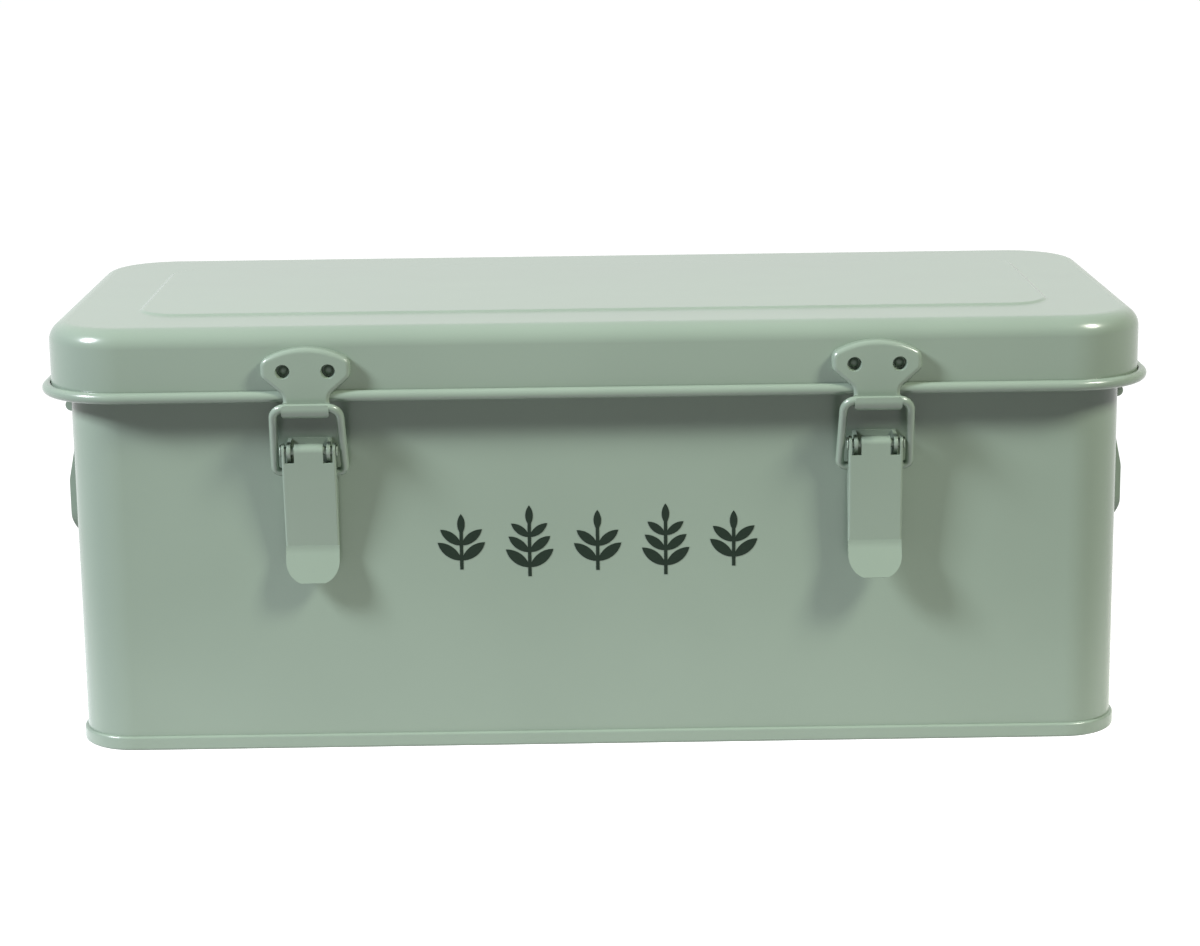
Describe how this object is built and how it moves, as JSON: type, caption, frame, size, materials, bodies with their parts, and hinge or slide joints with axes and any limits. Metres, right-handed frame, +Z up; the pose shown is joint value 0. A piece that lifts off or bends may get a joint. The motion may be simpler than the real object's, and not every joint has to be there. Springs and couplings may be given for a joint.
{
  "type": "seed storage box",
  "caption": "Rounded rectangular steel storage box with a hinged lid, front toggle latches, drop handles and inner dividers for seed packets.",
  "frame": {"origin": "centre of the bounding box, on the surface that the box stands on", "axes": "+Z up, -Y towards the latches, +X to the right of someone facing the latches"},
  "size_m": [0.3508, 0.169, 0.1376],
  "materials": {
    "painted_steel": "gloss",
    "plated_steel": "satin",
    "print_ink": "satin"
  },
  "bodies": {
    "box_body": {"left_body_wall": "painted_steel", "right_body_wall": "painted_steel", "left_body_rim": "painted_steel", "right_body_rim": "painted_steel", "base_pan": "painted_steel", "divider_1": "painted_steel", "divider_2": "painted_steel", "left_latch_base": "painted_steel", "right_latch_base": "painted_steel", "latch_base_rivets": "painted_steel", "left_lever_pin": "painted_steel", "right_lever_pin": "painted_steel", "left_hinge_body_leaf": "painted_steel", "right_hinge_body_leaf": "painted_steel", "left_hinge_pin": "plated_steel", "right_hinge_pin": "plated_steel", "body_hinge_rivets": "painted_steel", "left_handle_bracket": "painted_steel", "right_handle_bracket": "painted_steel", "handle_rivets": "painted_steel", "front_print": "print_ink"},
    "lid_body": {"lid": "painted_steel", "left_striker_plate": "painted_steel", "right_striker_plate": "painted_steel", "striker_rivets": "painted_steel", "left_hinge_lid_leaf": "painted_steel", "right_hinge_lid_leaf": "painted_steel", "lid_hinge_rivets": "painted_steel"},
    "left_lever_body": {"left_lever": "painted_steel"},
    "left_loop_body": {"left_loop": "painted_steel"},
    "left_handle_body": {"left_handle": "painted_steel"},
    "right_lever_body": {"right_lever": "painted_steel"},
    "right_loop_body": {"right_loop": "painted_steel"},
    "right_handle_body": {"right_handle": "painted_steel"}
  },
  "joints": [
    {"name": "lid_hinge", "type": "hinge", "parent": "box_body", "child": "lid_body", "pos_m": [0, 0.08225, 0.11153], "axis": [-1, 0, 0], "range_deg": [0, 105]},
    {"name": "left_lever_pivot", "type": "hinge", "parent": "box_body", "child": "left_lever_body", "pos_m": [-0.0895, -0.0753, 0.09851], "axis": [-1, 0, 0], "range_deg": [0, 90]},
    {"name": "left_loop_pivot", "type": "hinge", "parent": "left_lever_body", "child": "left_loop_body", "pos_m": [-0.0895, -0.07135, 0.09101], "axis": [1, 0, 0], "range_deg": [0, 67]},
    {"name": "right_lever_pivot", "type": "hinge", "parent": "box_body", "child": "right_lever_body", "pos_m": [0.0869, -0.0753, 0.09851], "axis": [-1, 0, 0], "range_deg": [0, 90]},
    {"name": "right_loop_pivot", "type": "hinge", "parent": "right_lever_body", "child": "right_loop_body", "pos_m": [0.0869, -0.07202, 0.0907], "axis": [1, 0, 0], "range_deg": [0, 67]},
    {"name": "left_handle_pivot", "type": "hinge", "parent": "box_body", "child": "left_handle_body", "pos_m": [-0.16845, 0.0027, 0.1075], "axis": [0, 1, 0], "range_deg": [0, 90]},
    {"name": "right_handle_pivot", "type": "hinge", "parent": "box_body", "child": "right_handle_body", "pos_m": [0.16845, 0.0027, 0.1075], "axis": [0, -1, 0], "range_deg": [0, 90]}
  ],
  "couplings": [
    {"joint": "left_loop_pivot", "follows": "left_lever_pivot", "ratio": 0.7},
    {"joint": "right_loop_pivot", "follows": "right_lever_pivot", "ratio": 0.7}
  ]
}
